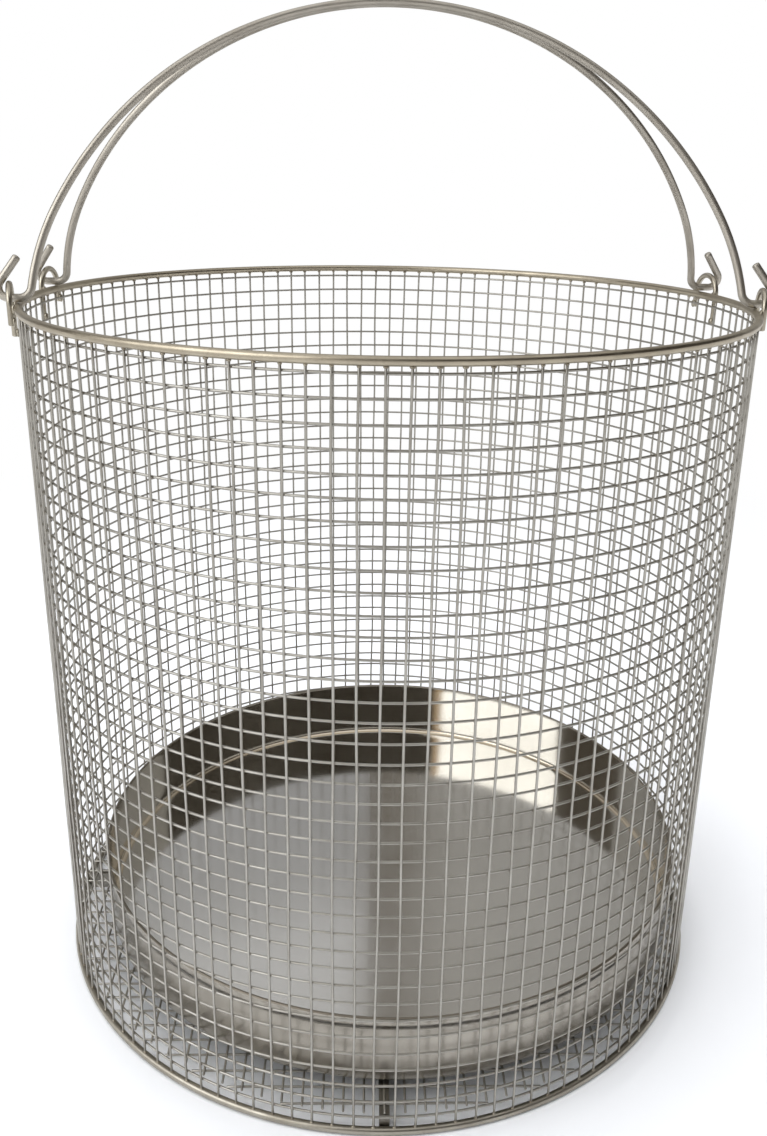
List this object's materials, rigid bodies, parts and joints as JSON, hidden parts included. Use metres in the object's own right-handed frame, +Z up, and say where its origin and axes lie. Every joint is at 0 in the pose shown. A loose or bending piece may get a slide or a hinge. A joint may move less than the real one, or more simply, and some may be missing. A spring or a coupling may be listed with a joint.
{
  "type": "autoclave basket",
  "caption": "Round welded wire mesh basket on a foot ring and crossed bars, with a loose shallow drip pan inside and two hinged wire bail handles over the mouth.",
  "frame": {"origin": "middle of the underside, on the surface that the basket stands on", "axes": "+Z up, +X along the handles' pivot lines to the right, +Y to the back, so the front handle is pivoted towards -Y"},
  "size_m": [0.3894, 0.38, 0.5192],
  "materials": {
    "mesh_wire": "drawn stainless wire, spot welded, satin",
    "rim_rod": "drawn stainless rod, electropolished",
    "foot_rod": "drawn stainless rod, satin",
    "bar_steel": "flat stainless bar, satin",
    "pan_sheet": "polished stainless sheet, finely brushed floor",
    "lug_rod": "stainless rod, satin, with weld spots",
    "handle_rod": "drawn stainless rod, electropolished"
  },
  "bodies": {
    "basket": {"uprights": "mesh_wire", "hoop_band_1": "mesh_wire", "hoop_band_2": "mesh_wire", "hoop_band_3": "mesh_wire", "hoop_band_4": "mesh_wire", "hoop_band_5": "mesh_wire", "rim_ring": "rim_rod", "foot_ring": "foot_rod", "through_bar": "bar_steel", "half_bars": "bar_steel", "lower_floor_wires": "mesh_wire", "upper_floor_wires": "mesh_wire", "drip_pan": "pan_sheet", "lug_front_left": "lug_rod", "lug_front_right": "lug_rod", "lug_rear_left": "lug_rod", "lug_rear_right": "lug_rod"},
    "front_handle": {"front_bail": "handle_rod"},
    "rear_handle": {"rear_bail": "handle_rod"}
  },
  "joints": [
    {"name": "front_handle_swing", "type": "hinge", "parent": "basket", "child": "front_handle", "pos_m": [0, -0.04, 0.3783], "axis": [1, 0, 0], "range_deg": [0, 105]},
    {"name": "rear_handle_swing", "type": "hinge", "parent": "basket", "child": "rear_handle", "pos_m": [0, 0.04, 0.3783], "axis": [-1, 0, 0], "range_deg": [0, 105]}
  ]
}
